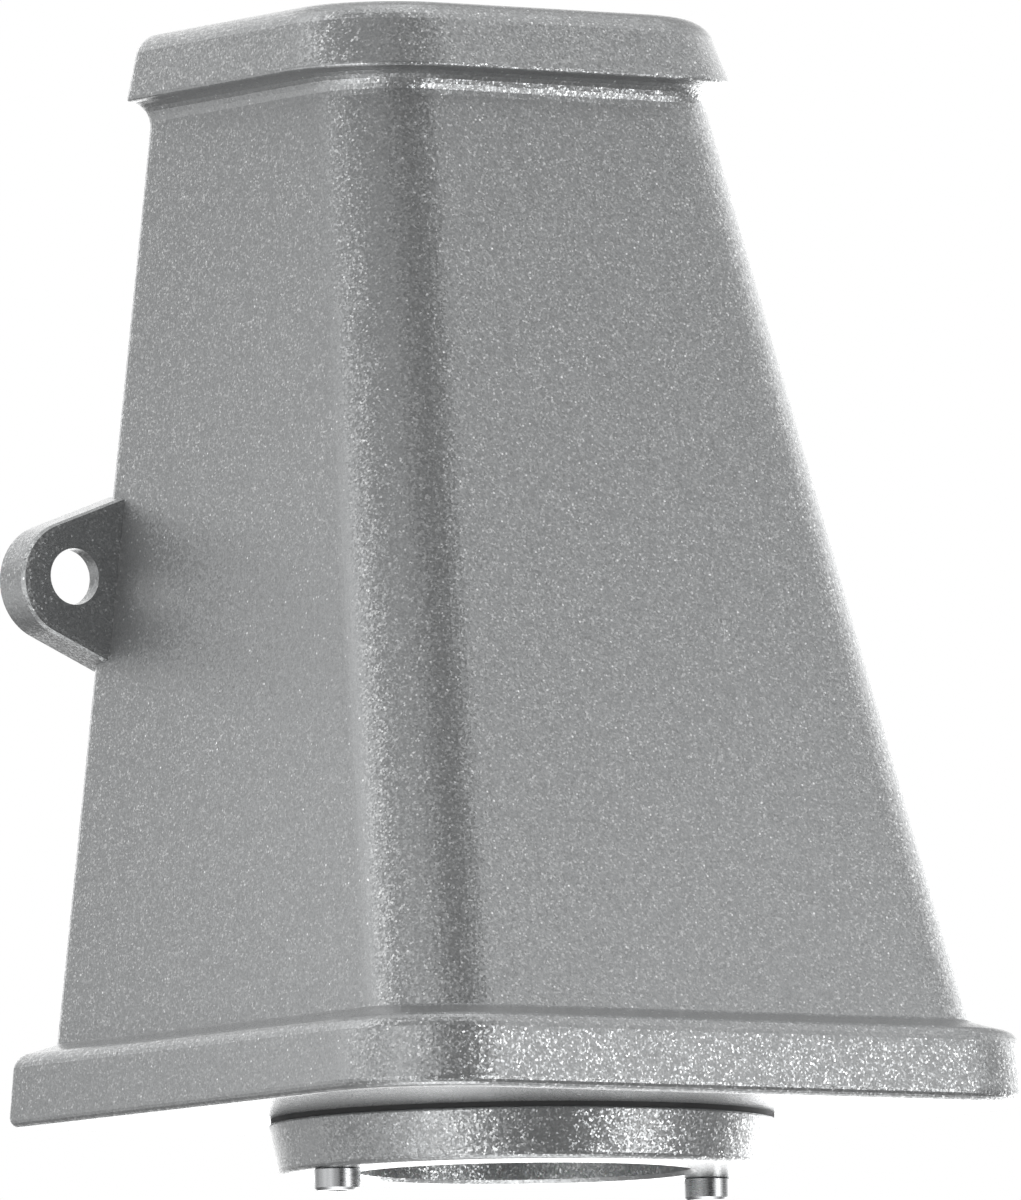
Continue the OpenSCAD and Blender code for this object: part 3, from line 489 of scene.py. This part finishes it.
bm = bmesh.new()
bmesh.ops.create_grid(bm, x_segments=1, y_segments=1, size=floor_reach)
bmesh.ops.translate(bm, verts=bm.verts, vec=(0, 0, floor_z))
floor_mesh = bpy.data.meshes.new("floor")
bm.to_mesh(floor_mesh)
bm.free()
floor = bpy.data.objects.new("floor", floor_mesh)
bpy.context.scene.collection.objects.link(floor)
made, tree = material("pale_floor")
ray = add(tree, "ShaderNodeLightPath")
side = add(tree, "ShaderNodeNewGeometry")
above = add(
    tree, "ShaderNodeMath", {"operation": "SUBTRACT"}, i0=(ray, "Is Camera Ray"), i1=(side, "Backfacing"))
seen = add(tree, "ShaderNodeMath", {"operation": "MAXIMUM"}, i0=(above, "Value"), i1=0.0)
clear = add(tree, "ShaderNodeBsdfTransparent")
matt = add(tree, "ShaderNodeBsdfDiffuse", Color=linear("#F4F4F2"))
shade = add(tree, "ShaderNodeMixShader", Fac=(seen, "Value"), i1=(clear, "BSDF"), i2=(matt, "BSDF"))
add(tree, "ShaderNodeOutputMaterial", Surface=(shade, "Shader"))
floor.data.materials.append(made)
print("floor at z in mm:", round(floor_z / MM))

# %% [markdown]
# The light is a dark room with soft boxes round the object. A metallic coat shows the room
# that it mirrors. The dark gap between straight in front and the camera's own azimuth
# makes the dark band down the near corner, and the boxes on both sides of the gap make the
# bright bands. Each soft box is a smooth lobe in the world, and its strength falls off
# with the angle from its middle. A row has its azimuth, elevation, narrowness and
# strength. With a narrowness of 13 half of the strength is left 19 degrees from the
# middle, with 25 at 14 degrees, and with 45 at 10 degrees. Light adds up, so renders with
# one box lit at a time show what each box does to each face, and the strengths were worked
# out from such renders and then rounded. The camera, and glass that it looks through, see
# plain white.

# %% World
soft_boxes = (
    (0, -90, 13, 5),         # straight below
    (73, -30, 25, 5),        # low left
    (144, -15, 13, 1.2),     # low, behind on the left
    (240, -15, 13, 7.6),     # low, behind on the right
    (339, -9, 45, 9.5),      # a little low, in front and slightly right
    (212, -6, 45, 1),        # nearly level, behind on the right
    (100, 0, 20, 1.25),      # level, left
    (73, 9, 25, 1.4),        # nearly level, left and slightly in front
    (326, 9, 20, 0.8),       # nearly level, in front on the right
    (192, 15, 13, 2.3),      # behind
    (264, 15, 13, 2),        # right
    (45, 45, 13, 0.85),      # high, in front on the left
    (135, 45, 13, 2.7),      # high, behind on the left
    (315, 45, 13, 0.9),      # high, in front on the right
    (305, 50, 25, 0.7),      # the same, narrower and farther round
    (240, 75, 13, 2.5),      # nearly overhead
)

world = bpy.data.worlds.new("studio")
bpy.context.scene.world = world
world.use_nodes = True
tree = world.node_tree
tree.nodes.clear()
ray = add(tree, "ShaderNodeLightPath")
place = add(tree, "ShaderNodeTexCoord")
level = None
for azimuth, elevation, narrowness, strength in soft_boxes:
    aim = add(
        tree, "ShaderNodeVectorMath", {"operation": "DOT_PRODUCT"}, i0=(place, "Generated"),
        i1=tuple(towards(azimuth, elevation)))
    away_from = add(
        tree, "ShaderNodeMath", {"operation": "MULTIPLY_ADD"}, i0=(aim, "Value"), i1=float(narrowness),
        i2=-float(narrowness))
    fall = add(tree, "ShaderNodeMath", {"operation": "EXPONENT"}, i0=(away_from, "Value"))
    level = add(
        tree, "ShaderNodeMath", {"operation": "MULTIPLY_ADD"}, i0=(fall, "Value"), i1=strength,
        i2=(level, "Value") if level else 0.0)
backdrop = add(
    tree, "ShaderNodeMath", {"operation": "MAXIMUM"}, i0=(ray, "Is Camera Ray"),
    i1=(ray, "Is Transmission Ray"))
power = add(
    tree, "ShaderNodeMix", {"data_type": "FLOAT"}, i0=(backdrop, "Value"), i2=(level, "Value"), i3=1.0)
white = add(tree, "ShaderNodeBackground", Color=(1, 1, 1, 1), Strength=(power, 0))
add(tree, "ShaderNodeOutputWorld", Surface=(white, "Background"))
print("soft boxes:", len(soft_boxes))

# %% [markdown]
# Three more soft boxes stand close to the object. The others are too far off to change
# along a face, and these lift the near end of the left side and the right edge. A row has
# the azimuth, the distance and the side of the square in metres, and the level. The power
# grows with the area, so a level means the same brightness at any size.

# %% Near soft boxes
object_middle = Vector((0, -45, 70)) * MM
near_soft_boxes = (
    (50, 0.30, 0.25, 0.9),
    (110, 0.18, 0.14, 0.85),
    (330, 0.30, 0.25, 0.6),
)
for azimuth, distance, panel_side, panel_level in near_soft_boxes:
    from_object = towards(azimuth, 0)
    panel = bpy.data.objects.new("near_soft_box", bpy.data.lights.new("near_soft_box", "AREA"))
    bpy.context.scene.collection.objects.link(panel)
    panel.data.shape = "SQUARE"
    panel.data.size = panel_side
    panel.data.energy = math.pi * panel_side ** 2 * panel_level
    panel.location = object_middle + distance * from_object
    panel.rotation_euler = from_object.to_track_quat("Z", "Y").to_euler()
    panel.visible_camera = False
    print("near soft box at:", [round(c, 3) for c in panel.location])

# %% [markdown]
# Last, the Standard view shows the colours as they are shaded. A finish adds no size.

# %% Scene settings
scene = bpy.context.scene
scene.view_settings.view_transform = "Standard"
